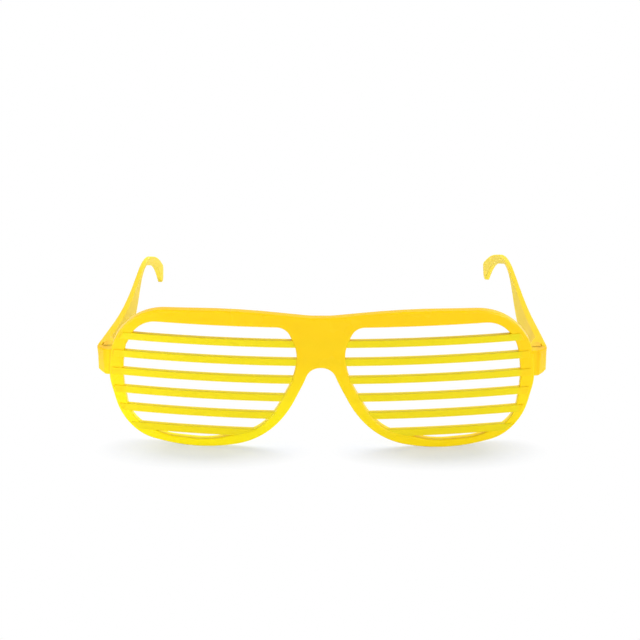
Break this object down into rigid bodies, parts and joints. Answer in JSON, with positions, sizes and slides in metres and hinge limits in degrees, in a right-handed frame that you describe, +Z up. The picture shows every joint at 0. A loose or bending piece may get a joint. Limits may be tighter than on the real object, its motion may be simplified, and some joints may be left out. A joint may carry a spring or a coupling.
{
  "type": "slatted sunglasses",
  "caption": "Slatted party sunglasses: a wrapped plastic front moulded with bars across the eyes, and hinged temples that bend down behind the ears.",
  "frame": {"origin": "middle of the footprint, on the surface that the open glasses stand on", "axes": "+X to the right seen from the front, +Y back along the temples, +Z up; the front faces -Y"},
  "size_m": [0.1481, 0.1474, 0.0491],
  "materials": {
    "front_plastic": "glossy injection-moulded polypropylene, warm yellow",
    "temple_plastic": "glossy injection-moulded polypropylene, warm yellow, a little translucent where thin",
    "pin_steel": "bright drawn steel wire"
  },
  "bodies": {
    "front": {"front_frame": "front_plastic", "left_hinge_pin": "pin_steel", "right_hinge_pin": "pin_steel"},
    "left_arm": {"left_temple": "temple_plastic"},
    "right_arm": {"right_temple": "temple_plastic"}
  },
  "joints": [
    {"name": "left_temple_hinge", "type": "hinge", "parent": "front", "child": "left_arm", "pos_m": [-0.0704, -0.05904, 0.0278], "axis": [0, 0, -1], "range_deg": [-1.5, 85]},
    {"name": "right_temple_hinge", "type": "hinge", "parent": "front", "child": "right_arm", "pos_m": [0.0704, -0.05904, 0.0278], "axis": [0, 0, 1], "range_deg": [-3.3, 87.5]}
  ]
}
